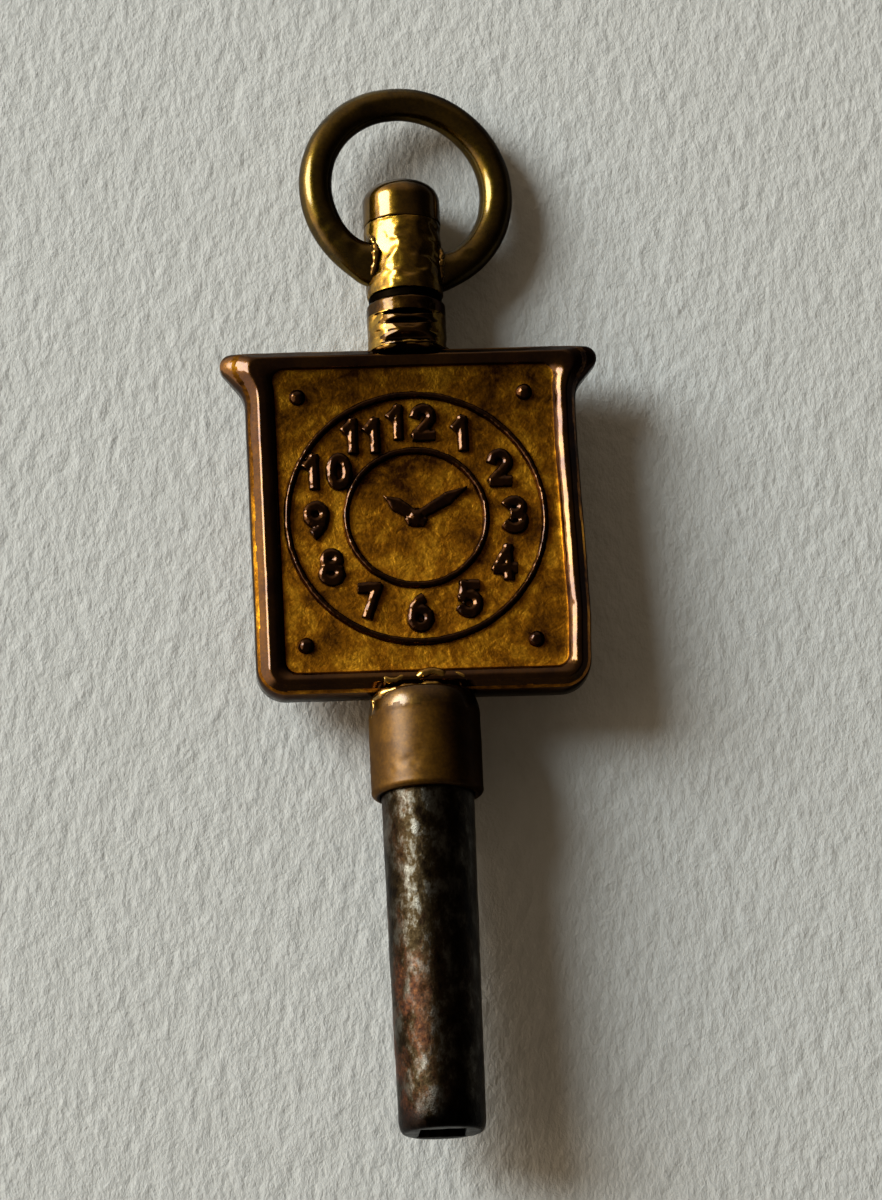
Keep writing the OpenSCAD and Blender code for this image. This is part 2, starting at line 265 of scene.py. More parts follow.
pipe.data.materials.append(steel)
bring_to_frame(pipe, 40)
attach(pipe, "key")
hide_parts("pipe")


# The ferrule: a thick collar of reddish brass, turned, that the pipe is brazed into. Its edges are rubbed
# round and its lower rim is dented from use.

FERRULE_POINTS = 128
ferrule_low, ferrule_high = box_mm("ferrule")
ferrule_r = ferrule_high.x
ferrule_y0, ferrule_y1 = ferrule_low.y, box_mm("key_plate")[0].y
ferrule_bore, bore_end = pipe_top_r + 0.02, ferrule_y1 - 0.42
lip, shoulder_r, shoulder_h = 0.2, 0.32, 0.8
side_h = ferrule_y1 - ferrule_y0 - lip - shoulder_h
ferrule_inset, belly = 0.01, 0.012         # its side swells a little at half its height
polish_y = ferrule_y1 - 0.72               # the shoulder is polished from here up

ferrule_profile = [(0, bore_end), (ferrule_bore, bore_end), (ferrule_bore, ferrule_y0 + 0.08),
                   (ferrule_bore + 0.03, ferrule_y0 + 0.02)]
for i in range(9):
    a = radians(-90 + 90 * i / 8)
    ferrule_profile.append((ferrule_r - lip + lip * cos(a), ferrule_y0 + lip + lip * sin(a)))
for i in range(1, 40):
    t = i / 40
    ferrule_profile.append((ferrule_r + belly * sin(pi * t) - ferrule_inset, ferrule_y0 + lip + side_h * t))
for i in range(15):
    a = radians(90 * i / 14)
    ferrule_profile.append((ferrule_r - shoulder_r + shoulder_r * cos(a),
                            ferrule_y1 - shoulder_h + shoulder_h * sin(a)))
ferrule_profile.append((0, ferrule_y1))


def turned(name, profile, points):
    """A piece from the lathe: its profile of radius and height, taken round the key's axis."""
    return draw_up(name, [circle(r, y, points) for r, y in profile])


ferrule = turned("ferrule_collar", ferrule_profile, FERRULE_POINTS)
make_uneven(ferrule, 1.6, 0.035)
make_uneven(ferrule, 0.5, 0.008)
for x, y in ((-0.95, 12.5), (-0.7, 12.62), (-0.5, 12.42), (-1.3, 12.3), (-0.25, 12.95)):  # dents from use
    z = sqrt(ferrule_r ** 2 - x ** 2)
    dent(ferrule.data.vertices, (x, y, z), 0.24, (-0.008 * x, 0, -0.008 * z))


def aged_brass(name, bright, tarnish, grime_and_shade, blotch, smooth, dull, scratch, film, film_gloss):
    """Brass that has browned in the hand: blotches of tarnish of that size in mm, grime and painted shade in
    the hollows, a gloss that goes from smooth to dull with the tarnish, fine scratches, and the clear film of
    the tarnish on top, which mirrors a lamp white, thinner on faces that stand on edge. Faces turned towards
    the lamp's side keep their colour and film; the sides turned away are painted darker and lose most of the
    film, as painted light and shade. Colours are hex values."""
    material, add, place = new_material(name)
    cloud = add("TexNoise", {"Vector": place, "Scale": 1 / blotch, "Detail": 7, "Roughness": 0.62})
    grit = add("TexNoise", {"Vector": place, "Scale": 9, "Detail": 4, "Roughness": 0.6})
    drawn = add("Mapping", {"Vector": place, "Rotation": (0.3, 0.5, 0.6), "Scale": (1, 16, 5)})
    marks = add("TexNoise", {"Vector": drawn, "Scale": 1.6, "Detail": 3})
    tone = add("ValToRGB", {"Fac": cloud}, [(0.36, tarnish), (0.6, bright)])
    speck = add("MapRange", {
        "Value": grit, "From Min": 0.35, "From Max": 0.65, "To Min": 0.75, "To Max": 1.12})
    faces = add("TexCoord").outputs["Normal"]
    # Painted light and shade: how far a face turns towards the lamp's side sets how bright its colour is and
    # how much film it keeps.
    toward_light = add("VectorMath", {0: faces, 1: (-0.95, -0.1, 0)}, operation="DOT_PRODUCT")
    forward = add("SeparateXYZ", {0: faces})
    upright = add("Math", {0: forward.outputs["Z"]}, operation="ABSOLUTE")
    light_facing = add("Math", {0: upright, 1: 0.5, 2: toward_light.outputs["Value"]}, operation="MULTIPLY_ADD")
    lit_side = add("MapRange", {
        "Value": light_facing, "From Min": -0.1, "From Max": 0.5, "To Min": 0.12,
        "To Max": 1.0}, interpolation_type="SMOOTHSTEP")
    speck_and_light = add("Math", {0: speck, 1: lit_side}, operation="MULTIPLY")
    faced = add("MapRange", {
        "Value": upright, "From Min": 0.25, "From Max": 0.6, "To Min": 0.5 * film, "To Max": film})
    lit_film = add("Math", {0: faced, 1: lit_side}, operation="MULTIPLY")
    tone_and_light = add("VectorMath", {0: tone, "Scale": speck_and_light}, operation="SCALE")
    # Grime and painted shade: where the skin is closed in by other shapes, the grime colour takes over.
    hollow_shade = add("AmbientOcclusion", {"Distance": 0.0003}, samples=6)
    clear = add("MapRange", {"Value": hollow_shade.outputs["AO"], "From Min": 0.35, "From Max": 0.85})
    base = add("Mix", {0: clear, 6: colour(grime_and_shade), 7: tone_and_light}, data_type="RGBA")
    gloss = add("MapRange", {
        "Value": cloud, "From Min": 0.35, "From Max": 0.65, "To Min": dull, "To Max": smooth})
    rough = add("Math", {0: grit, 1: 0.06, 2: gloss}, operation="MULTIPLY_ADD")
    skin = add("Math", {0: marks, 1: scratch, 2: grit}, operation="MULTIPLY_ADD")
    bump = add("Bump", {"Height": skin, "Strength": 0.35, "Distance": 0.00001})
    shader = add("BsdfPrincipled", {
        "Base Color": base.outputs[2], "Metallic": 1.0, "Roughness": rough, "Normal": bump,
        "Specular Tint": colour("#b4b4b4"), "Coat Weight": lit_film, "Coat Roughness": film_gloss})
    add("OutputMaterial", {"Surface": shader})
    return material


# Gilding brass, rich in copper, turned and handled: a satin tan with browner clouds.
red_brass = aged_brass("red_brass_turned_satin", "#6c480f", "#4a2e08", "#120803",
                       blotch=1.4, smooth=0.5, dull=0.58, scratch=0.35, film=0.35, film_gloss=0.34)
# The same brass on the shoulder, where the fingers rest and have polished it.
shoulder_brass = aged_brass("red_brass_polished", "#74521a", "#4e330c", "#33200a",
                            blotch=0.8, smooth=0.26, dull=0.36, scratch=0.35, film=0.9, film_gloss=0.2)
for brass in (red_brass, shoulder_brass):
    ferrule.data.materials.append(brass)
for face in ferrule.data.polygons:
    x, y, z = face.center
    if y > polish_y + 0.07 * sin(4 * x) + 0.04 * sin(13 * x + 5 * z):
        face.material_index = 1
bring_to_frame(ferrule, 40)
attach(ferrule, "key")
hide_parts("ferrule")


# The plate: the flat of the key that the fingers turn, cast and struck in yellow brass with a raised rim
# round a sunk field on both sides, and two ears at its top corners. The rim is rubbed bright by the hand.

plate_low, plate_high = box_mm("key_plate")
plate_y0, plate_y1 = plate_low.y, plate_high.y
side_x, side_draw = 5.84, 0.07
corner_r, least_r = 1.05, 0.4
ear_reach, ear_lean = plate_high.x - side_x, radians(40)
ear_tip_r, ear_foot_r = 0.4, 1.2
slim_low, slim_high, slim_right = 0.24, 0.3, 0.22    # by how much of its width the rim is narrower there
lean_by, lean_from, lean_run = 0.2, 24.2, 6.2        # the right side leans out, from that height down
tuck_by, tuck_from, tuck_run = 0.1, 18.0, 2.7        # and a little in again at the lower corner
crest_z = plate_high.z
field_z, edge_z = crest_z - 0.3, crest_z - 0.52
field_middle = (0.0, (plate_y0 + plate_y1) / 2)


def arc(centre, r, start, end, steps):
    turns = [start + (end - start) * i / steps for i in range(steps + 1)]
    return [(centre[0] + r * cos(a), centre[1] + r * sin(a)) for a in turns]


def run(a, b, steps):
    """The points between two points of the outline, without its ends."""
    return [(a[0] + (b[0] - a[0]) * i / steps, a[1] + (b[1] - a[1]) * i / steps) for i in range(1, steps)]


def lean_out(y):
    """How far the right side leans out at that height."""
    leant = lean_by * min(1.0, max(0.0, (lean_from - y) / lean_run))
    return leant - tuck_by * max(0.0, (tuck_from - y) / tuck_run)


def plate_outline(d):
    """The plate's edge, set in by d: the lower corner, the ear's foot and the ear's tip, on both sides."""
    corner_q = max(corner_r, d + least_r)
    tip_q = max(ear_tip_r, d + least_r)
    out = (cos(ear_lean), -sin(ear_lean))
    slant = out[0] * (side_x + ear_reach - ear_tip_r) + out[1] * (plate_y1 - ear_tip_r) + ear_tip_r
    tip_y = plate_y1 - tip_q
    tip_x = (slant - tip_q - out[1] * tip_y) / out[0]
    foot_x = side_x + ear_foot_r
    foot_y = (slant + ear_foot_r - out[0] * foot_x) / out[1]
    corner = arc((side_x - side_draw - corner_q, plate_y0 + corner_q), corner_q - d, -pi / 2, 0, 14)
    tip_r = tip_q - d
    sweep = asin(min(1.0, (plate_y1 - d - tip_r - foot_y) / (ear_foot_r + d + tip_r)))
    if sweep < ear_lean:  # so far in, the curve of the foot runs straight into the corner
        tip_x = foot_x - (ear_foot_r + d + tip_r) * cos(sweep)
    else:
        sweep = ear_lean
    foot = arc((foot_x, foot_y), ear_foot_r + d, pi, pi - sweep, 10)
    tip = arc((tip_x, tip_y), tip_r, -sweep, pi / 2, 14)
    right = corner + run(corner[-1], foot[0], 96) + foot + run(foot[-1], tip[0], 4) + tip
    low, high = plate_y0 + d, plate_y1 - d  # the rim is widest on the left side
    taller = high - low + d * (slim_low + slim_high)
    right = [(x, low - d * slim_low + (y - low) / (high - low) * taller) for x, y in right]
    left = [(-x, y) for x, y in reversed(right)]
    right = [(x * (1 + d * slim_right / (side_x - d)) + lean_out(y), y) for x, y in right]
    return right + run(right[-1], left[0], 96) + left + run(left[-1], right[0], 90)


# How far in from the edge, and how high over the field: a steep foot, a narrow facet, the crest, a rounding.
rim_heights = ((1.09, 0), (1.06, 0.013), (1.04, 0.035), (1.02, 0.063), (1.0, 0.091), (0.98, 0.116),
               (0.96, 0.136), (0.93, 0.160), (0.9, 0.183), (0.87, 0.203), (0.84, 0.219), (0.81, 0.233),
               (0.78, 0.247), (0.75, 0.260), (0.72, 0.271), (0.69, 0.280), (0.66, 0.287), (0.61, 0.294),
               (0.55, 0.299), (0.51, 0.296), (0.48, 0.288), (0.455, 0.277), (0.43, 0.262), (0.405, 0.243),
               (0.38, 0.218))
rim = [(d, field_z + rise) for d, rise in rim_heights]
wall_d, wall_z = rim[-1]
wall_drop = 0.88 * wall_d
for i in range(1, 13):  # the outer wall, a bevel that turns upright at the edge
    u = i / 12
    rim.append((wall_d * (1 - u), wall_z - wall_drop * u - (wall_z - edge_z - wall_drop) * u ** 7))
rim_front = [[(x, y, z) for x, y in plate_outline(d)] for d, z in rim]
rim_back = [[(x, y, -z) for x, y, z in ring] for ring in reversed(rim_front)]

field_steps = (0.0, 0.06, 0.14, 0.22, 0.30, 0.38, 0.46, 0.54, 0.62, 0.70, 0.77, 0.83, 0.88, 0.92, 0.95, 0.975)
field_edge = plate_outline(rim[0][0])
walked = [0.0]
for here, there in zip(field_edge, field_edge[1:] + field_edge[:1]):
    walked.append(walked[-1] + dist(here, there))
even_edge, leg = [], 0
for i in range(len(field_edge)):  # the same edge with its points evenly apart
    goal = walked[-1] * i / len(field_edge)
    while walked[leg + 1] < goal:
        leg += 1
    t = (goal - walked[leg]) / (walked[leg + 1] - walked[leg])
    here, there = field_edge[leg], field_edge[(leg + 1) % len(field_edge)]
    even_edge.append((here[0] + (there[0] - here[0]) * t, here[1] + (there[1] - here[1]) * t))


def field_ring(share, z):
    """The field's edge, drawn in towards the middle to that share, with its points ever more evenly apart."""
    points = [(x0 + (x1 - x0) * share ** 3, y0 + (y1 - y0) * share ** 3)
              for (x0, y0), (x1, y1) in zip(even_edge, field_edge)]
    mid_x, mid_y = field_middle
    return [(mid_x + (x - mid_x) * share, mid_y + (y - mid_y) * share, z) for x, y in points]


plate_sections = [field_ring(share, field_z) for share in field_steps] + rim_front
plate_sections += rim_back + [field_ring(share, -field_z) for share in reversed(field_steps)]
plate = draw_up("key_plate_cast", plate_sections)
make_uneven(plate, 2.2, 0.035)
make_uneven(plate, 0.7, 0.014)
ear_thins_from, ear_thins_by, ear_low = 0.35, 0.5, plate_y1 - 2.4
for point in plate.data.vertices:  # the ears thin out towards their tips
    out = (abs(point.co.x) - side_x + ear_thins_from) / (ear_reach + ear_thins_from)
    if out > 0 and point.co.y > ear_low:
        point.co.z *= 1 - ear_thins_by * out * out
NICKS = 380
draws = random.Random(11)
side_rims = [point for point in plate.data.vertices if point.co.z > 0.5 and abs(point.co.x) > 4.5]
for i in range(NICKS):  # nicks in the rim's crest and inner slope, most of them on the right
    side = 1 if i % 5 else -1
    x = draws.uniform(5.0, 5.6) if side > 0 else draws.uniform(-5.5, -4.85)
    place = (x, draws.uniform(16.0, 27.0), draws.uniform(0.65, 0.9))
    reach = draws.uniform(0.1, 0.3)
    dent(side_rims, place, reach, (side * draws.uniform(-0.006, 0.006), 0, draws.uniform(-0.009, 0.004)))


def struck_brass(name):
    """Yellow brass, cast and struck: the sunk field keeps the grain of the die under a matt golden brown
    tarnish, in dark blotches, darker towards the top, and paler round all that stands up from it. Painted
    shade darkens the field at the foot of all that stands up."""
    material, add, place = new_material(name)
    cloud = add("TexNoise", {
        "Vector": place, "Scale": 0.62, "Detail": 9, "Roughness": 0.66, "Distortion": 0.3})
    grain = add("TexNoise", {"Vector": place, "Scale": 6.5, "Detail": 5, "Roughness": 0.65})
    tone = add("ValToRGB", {"Fac": cloud}, [(0.36, "#341a06"), (0.51, "#82500c"), (0.66, "#cc8f20")])
    speck = add("MapRange", {
        "Value": grain, "From Min": 0.33, "From Max": 0.67, "To Min": 0.66, "To Max": 1.25})
    height = add("SeparateXYZ", {"Vector": place})
    darker_upward = add("MapRange", {
        "Value": height.outputs["Y"], "From Min": plate_y0 + 5.5, "From Max": plate_y1 - 1.0, "To Min": 1.34,
        "To Max": 0.5})
    near = add("AmbientOcclusion", {"Distance": 0.0007}, samples=8)
    halo = add("MapRange", {
        "Value": near.outputs["AO"], "From Min": 0.55, "From Max": 0.93, "To Min": 1.9, "To Max": 0.95})
    paler = add("Math", {0: darker_upward, 1: halo}, operation="MULTIPLY")
    strength = add("Math", {0: paler, 1: speck}, operation="MULTIPLY")
    shaded = add("VectorMath", {0: tone, "Scale": strength}, operation="SCALE")
    # Painted shade: where the field is closed in at the foot of the rim and the figures, it turns a dark
    # brown.
    hollow_shade = add("AmbientOcclusion", {"Distance": 0.00022}, samples=6)
    clear = add("MapRange", {"Value": hollow_shade.outputs["AO"], "From Min": 0.4, "From Max": 0.8, "To Min": 0.12})
    base = add("Mix", {0: clear, 6: colour("#2a1708"), 7: shaded}, data_type="RGBA")
    rough = add("MapRange", {
        "Value": cloud, "From Min": 0.35, "From Max": 0.65, "To Min": 0.6, "To Max": 0.45})
    wrinkle = add("TexNoise", {
        "Vector": place, "Scale": 1.7, "Detail": 3, "Roughness": 0.55, "Distortion": 0.8})
    skin = add("Math", {0: wrinkle, 1: 2.2, 2: grain}, operation="MULTIPLY_ADD")
    bump = add("Bump", {"Height": skin, "Strength": 0.75, "Distance": 0.00003})
    shader = add("BsdfPrincipled", {
        "Base Color": base.outputs[2], "Metallic": 1.0, "Roughness": rough, "Normal": bump})
    add("OutputMaterial", {"Surface": shader})
    return material


field_brass = struck_brass("yellow_brass_cast_struck")
# The same brass where the hand rubs it, on the rim: smooth, dark and mirroring.
rubbed_brass = aged_brass("yellow_brass_struck_rubbed", "#5f3c09", "#3b1e07", "#110602",
                          blotch=1.6, smooth=0.12, dull=0.2, scratch=0.3, film=0.55, film_gloss=0.1)
for brass in (field_brass, rubbed_brass):
    plate.data.materials.append(brass)
for face in plate.data.polygons:
    lies_flat = all(abs(plate.data.vertices[v].co.z) < field_z + 0.05 for v in face.vertices)
    face.material_index = 0 if lies_flat and abs(face.center.z) > field_z - 0.1 else 1
bring_to_frame(plate, 40)
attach(plate, "key")
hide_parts("key_plate")


# The dial relief: a plain clock dial that is struck up from the plate's front field, with its twelve numbers
# between two rings, two hands on a boss, and a pellet in each corner. It is one metal with the plate.

relief_foot, relief_top = field_z - 0.12, field_z + 0.24
dial_y = field_middle[1]
outer_r, inner_r, ring_w, ring_rise = 4.52, 2.46, 0.26, 1.7
number_r = (outer_r + inner_r) / 2
figure_height = 1.0  # between the middles of a figure's top and bottom strokes
figure_width, one_width = 0.56, 0.3
stroke_w = 0.4
figure_gap = stroke_w + 0.08
hand_tail, hand_bevel, hand_slope = -0.4, 0.06, 0.1
hub_r, pellet_r, pellet_x, pellet_y = 0.36, 0.3, 4.01, 4.54
dial_parts = []


def raise_flat(outline_points):
    """A flat shape on the field, drawn by its points and raised to the relief's height, its top bevelled."""
    bpy.ops.mesh.primitive_circle_add(vertices=len(outline_points), radius=1, fill_type="NGON")
    part = bpy.context.object
    for point, (x, y) in zip(part.data.vertices, outline_points):
        point.co = (x, y, relief_foot)
    bpy.ops.object.mode_set(mode="EDIT")
    bpy.ops.mesh.select_all(action="SELECT")
    rise = relief_top - relief_foot - hand_bevel
    bpy.ops.mesh.extrude_region_move(TRANSFORM_OT_translate={"value": (0, 0, rise)})
    bpy.ops.mesh.inset(thickness=hand_slope, depth=hand_bevel)
    bpy.ops.mesh.select_all(action="SELECT")
    bpy.ops.mesh.normals_make_consistent(inside=False)
    bpy.ops.object.mode_set(mode="OBJECT")
    dial_parts.append(part)


for dial_ring_r in (outer_r, inner_r):
    bpy.ops.mesh.primitive_torus_add(location=(0, dial_y, field_z), major_radius=dial_ring_r,
                                     minor_radius=ring_w / 2, major_segments=160, minor_segments=16)
    bpy.ops.transform.resize(value=(1, 1, ring_rise), center_override=(0, dial_y, field_z))
    dial_parts.append(bpy.context.object)


def bow(cx, cy, rx, ry, start, end):
    """Points along a part of an ellipse, in shares of a figure's width and height; angles in degrees."""
    turns = [radians(start + (end - start) * i / 24) for i in range(25)]
    return [(cx + rx * cos(t), cy + ry * sin(t)) for t in turns]


# The strokes of each figure, as the punch cutter draws them.
figure_strokes = {
    "0": [bow(0.5, 0.5, 0.5, 0.5, 0, 375)],
    "1": [[(0.6, 0), (0.6, 1)], [(0.6, 1), (-0.2, 0.74)]],
    "2": [bow(0.5, 0.7, 0.5, 0.3, 165, -30) + [(0.03, 0.02)], [(0.03, 0), (1, 0)]],
    "3": [bow(0.42, 0.755, 0.5, 0.245, 145, -90), bow(0.42, 0.265, 0.56, 0.265, 90, -145)],
    "4": [[(0.74, 0), (0.74, 1)], [(0.74, 1), (0, 0.3)], [(0, 0.3), (1.05, 0.3)]],
    "5": [[(0.9, 1), (0.16, 1)], [(0.16, 1), (0.1, 0.56)], bow(0.45, 0.32, 0.54, 0.32, 135, -145)],
    "6": [bow(0.5, 0.31, 0.5, 0.31, 0, 375), bow(1.0, 0.31, 1.0, 0.75, 180, 115)],
    "7": [[(0, 1), (1, 1)], [(1, 1), (0.36, 0)]],
    "8": [bow(0.5, 0.76, 0.42, 0.24, 0, 375), bow(0.5, 0.26, 0.52, 0.26, 0, 375)],
}
figure_strokes["9"] = [[(1 - x, 1 - y) for x, y in path] for path in figure_strokes["6"]]


def raise_stroke(path):
    """A ridge along a path on the field, with sloping sides, a rounded top and square ends."""
    half = stroke_w / 2
    brow = relief_top - 0.075
    profile = [(-half - 0.03, relief_foot), (half + 0.03, relief_foot), (half, field_z), (half * 0.92, brow),
               (half * 0.3, relief_top), (-half * 0.3, relief_top), (-half * 0.92, brow), (-half, field_z)]
    points = [Vector(place) for place in path]
    first, last = (points[1] - points[0]).normalized(), (points[-1] - points[-2]).normalized()
    points[0] -= first * half * 0.7
    points[-1] += last * half * 0.7
    sections = []
    for k, place in enumerate(points):
        ahead = (points[min(k + 1, len(points) - 1)] - points[max(k - 1, 0)]).normalized()
        sections.append([(place.x - ahead.y * u, place.y + ahead.x * u, z) for u, z in profile])
    dial_parts.append(draw_up("stroke", sections))


for number in range(1, 13):
    a = radians(90 - 30 * number)
    widths = [one_width if digit == "1" else figure_width for digit in str(number)]
    left_x = number_r * cos(a) - (sum(widths) + figure_gap * (len(widths) - 1)) / 2
    low_y = dial_y + number_r * sin(a) - figure_height / 2
    for digit, width in zip(str(number), widths):
        for path in figure_strokes[digit]:
            raise_stroke([(left_x + x * width, low_y + y * figure_height) for x, y in path])
        left_x += width + figure_gap
for clockwise, length, width in ((305, 1.38, 0.42), (60, 2.15, 0.38)):  # the hands, at ten past ten
    a = radians(90 - clockwise)
    along, across = Vector((cos(a), sin(a))), Vector((-sin(a), cos(a)))
    tail, waist = along * hand_tail, along * length * 0.62
    hand = [tail + across * width * 0.35, tail - across * width * 0.35, waist - across * width * 0.6,
            along * length, waist + across * width * 0.6]
    raise_flat([(p.x, p.y + dial_y) for p in hand])
domes = [(0, dial_y, hub_r)]
domes += [(sx * pellet_x, dial_y + sy * pellet_y, pellet_r) for sx in (-1, 1) for sy in (-1, 1)]
for x, y, r in domes:
    place = (x, y, field_z - 0.02)
    bpy.ops.mesh.primitive_uv_sphere_add(segments=32, ring_count=16, radius=r, location=place)
    bpy.ops.transform.resize(value=(1, 1, 0.9), center_override=place)
    dial_parts.append(bpy.context.object)


def soften(piece, passes, group=""):
    """Smooths the whole skin, or one vertex group of it."""
    ease = piece.modifiers.new("soften", "SMOOTH")
    ease.factor = 0.5
    ease.iterations = passes
    ease.vertex_group = group
    apply_all(piece)


def fuse(name, parts, voxel, passes):
    """Parts that run into each other, made one skin by a remesh at that voxel in mm, and smoothed."""
    select_only(*parts)
    bpy.ops.object.transform_apply(location=True, rotation=True, scale=True)
    if len(parts) > 1:
        bpy.ops.object.join()
    fused = bpy.context.object
    fused.name = fused.data.name = name
    fused.data.remesh_voxel_size = voxel
    bpy.ops.object.voxel_remesh()
    soften(fused, passes)
    fused.data.materials.clear()
    return fused


relief = fuse("dial_relief", dial_parts, voxel=0.039, passes=4)
make_uneven(relief, 0.45, 0.045)
make_uneven(relief, 0.18, 0.03)
# The same brass on the raised figures: browned on top, and bright along the edges that face the lamp, partly
# from painted light.
relief_brass = aged_brass("yellow_brass_struck_browned", "#523008", "#301706", "#120703",
                          blotch=0.8, smooth=0.12, dull=0.22, scratch=0.3, film=0.38, film_gloss=0.08)
relief.data.materials.append(relief_brass)
bring_to_frame(relief, 60)
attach(relief, "key")
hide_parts("key_plate")


# The neck: a short post of the same brass on the plate's top edge. Its round band and beads are parted by
# grooves that are filed straight across the front and back, so its two sides stay smooth.

NECK_POINTS = 144
neck_r = box_mm("neck")[1].x
neck_y0, neck_sunk = plate_y1, 0.02
spigot_r, spigot_y = 0.7, neck_y0 - 0.3
band_y0, band_y1, band_edge = 29.14, 29.64, 0.1
boss_r, boss_y1 = 1.3, 29.91
# Heights, and how far front and back stand out there: foot, groove, bead, groove, thin bead, groove, band.
neck_fronts = ((neck_y0 - 0.4, 1.2), (neck_y0, 1.34), (28.0, 1.06), (28.08, 1.12), (28.36, neck_r),
               (28.6, 1.3), (28.7, 1.12), (28.84, 1.37), (28.94, 1.33), (29.05, 1.02),
               (band_y0 + 0.04, 1.5), (band_y1 + 1, 1.5))


def neck_ring(y):
    r = neck_r
    if y > band_y1 - band_edge:
        r = neck_r - band_edge + sqrt(max(0.0, band_edge ** 2 - (y - band_y1 + band_edge) ** 2))
    for (low, proud_low), (high, proud_high) in zip(neck_fronts, neck_fronts[1:]):
        if low <= y <= high:
            ease_in = 1 - cos(pi * (y - low) / (high - low))
            flat = proud_low + (proud_high - proud_low) * ease_in / 2
    return [(x, py, max(-flat, min(flat, z))) for x, py, z in circle(r, y, NECK_POINTS)]


neck_sections = [circle(0, spigot_y, NECK_POINTS), circle(spigot_r, spigot_y, NECK_POINTS)]
neck_h = band_y1 - neck_y0 + neck_sunk
neck_sections += [neck_ring(neck_y0 - neck_sunk + neck_h * i / 96) for i in range(97)]
neck_sections += [circle(boss_r + 0.06, band_y1, NECK_POINTS), circle(boss_r, band_y1 + 0.04, NECK_POINTS),
                  circle(boss_r, boss_y1, NECK_POINTS), circle(0, boss_y1, NECK_POINTS)]
neck = draw_up("neck_post", neck_sections)
make_uneven(neck, 0.9, 0.05)
make_uneven(neck, 0.32, 0.03)


def strike_flats(piece, draws, count, size, tilt, r, y0, y1):
    """Small flats, as a hammer or a file leaves them, at random places on a round between two heights."""
    deepest, margin = 0.014, 0.06
    for i in range(count):
        a, level = draws.uniform(0, 2 * pi), draws.uniform(y0, y1)
        reach = size * draws.uniform(0.22, 0.46)
        lean, twist = draws.uniform(-tilt, tilt), draws.uniform(-tilt, tilt)
        depth = draws.uniform(0.0, deepest)
        spot = Vector((r * cos(a), level, r * sin(a)))
        flat = Vector((cos(a + twist), lean, sin(a + twist))).normalized()
        for point in piece.data.vertices:
            off = point.co - spot
            over = off.dot(flat) + depth
            if over > 0 and off.length < reach:
                point.co -= flat * over
    between = piece.vertex_groups.new(name="between")
    between.add([v.index for v in piece.data.vertices if y0 + margin < v.co.y < y1 - margin], 1.0, "REPLACE")
    soften(piece, 9, between.name)


strike_flats(neck, random.Random(8), count=60, size=1, tilt=0.14, r=neck_r, y0=neck_y0, y1=band_y0)
# Yellow brass, filed and then rubbed: bright where the hand reaches, brown in the filed grooves.
neck_brass = aged_brass("yellow_brass_filed_rubbed", "#5f400a", "#392205", "#0d0502",
                        blotch=0.9, smooth=0.16, dull=0.26, scratch=0.4, film=0.4, film_gloss=0.1)
# The same brass on the two round sides that the file left alone, burnished by the fingers.
land_brass = aged_brass("yellow_brass_burnished", "#d2a23e", "#9c7120", "#2e1c06",
                        blotch=0.5, smooth=0.14, dull=0.22, scratch=0.3, film=0.6, film_gloss=0.1)
# The boss under the sleeve, painted near black as the shade in the gap under the sleeve.
gap_shade_brass = aged_brass("brass_gap_painted_shade", "#0c0703", "#070402", "#040201",
                         blotch=0.6, smooth=0.5, dull=0.6, scratch=0.2, film=0.0, film_gloss=0.4)
for brass in (neck_brass, land_brass, gap_shade_brass):
    neck.data.materials.append(brass)
for face in neck.data.polygons:
    x, y, z = face.center
    land_x = 0.88 + 0.12 * sin(9 * y) + 0.07 * sin(23 * y)  # the file's ragged limit
    if y > band_y1 + 0.01:
        face.material_index = 2
    elif y < band_y0 and abs(x) > land_x and hypot(x, z) > neck_r - 0.08:
        face.material_index = 1
bring_to_frame(neck, 50)
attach(neck, "key")
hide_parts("neck")


# The swivel sleeve: a short brass tube that runs on the pin, with the ring's two ends brazed into its sides.
# It was dressed with a hammer and a file, so its skin is all small bright facets.

SLEEVE_POINTS = 144
sleeve_r, sleeve_bore = 1.38, 0.7
sleeve_y0, sleeve_y1 = (corner.y for corner in box_mm("swivel_sleeve"))
sleeve_edge, bore_edge = 0.1, 0.05
flat_middle, flat_half = 40, radians(24)
sleeve_profile = [(sleeve_bore, sleeve_y1 - bore_edge), (sleeve_bore, sleeve_y0 + bore_edge),
                  (sleeve_bore + bore_edge, sleeve_y0), (sleeve_r - sleeve_edge, sleeve_y0),
                  (sleeve_r - 0.03, sleeve_y0 + 0.03), (sleeve_r, sleeve_y0 + sleeve_edge)]
sleeve_profile += [(sleeve_r, sleeve_y0 + sleeve_edge + (sleeve_y1 - sleeve_y0 - 0.13) * i / 70)
                   for i in range(1, 71)]
sleeve_profile += [(sleeve_r - 0.01, sleeve_y1 - 0.01), (sleeve_r - 0.03, sleeve_y1),
                   (sleeve_bore + bore_edge, sleeve_y1), (sleeve_bore, sleeve_y1 - bore_edge)]
sleeve = turned("swivel_sleeve_tube", sleeve_profile, SLEEVE_POINTS)
for point in sleeve.data.vertices:  # two broad worn flats, where thumb and finger turn the ring
    x, y, z = point.co
    middle = flat_middle + 7 * sin(2.3 * y) + 5 * sin(6.1 * y + 1)
    off_middle = remainder(atan2(-x, z) - radians(middle), pi)
    kept = cos(flat_half) / cos(off_middle)
    if hypot(x, z) > sleeve_r - 0.05 and kept < 1:
        worn = max(0.0, sin(pi * (y - sleeve_y0) / (sleeve_y1 - sleeve_y0))) ** 0.4
        kept = 1 - (1 - kept) * worn
        point.co.x, point.co.z = x * kept, z * kept
make_uneven(sleeve, 0.42, 0.09)
strike_flats(sleeve, random.Random(5), count=130, size=1.3, tilt=0.16, r=sleeve_r, y0=sleeve_y0, y1=sleeve_y1)


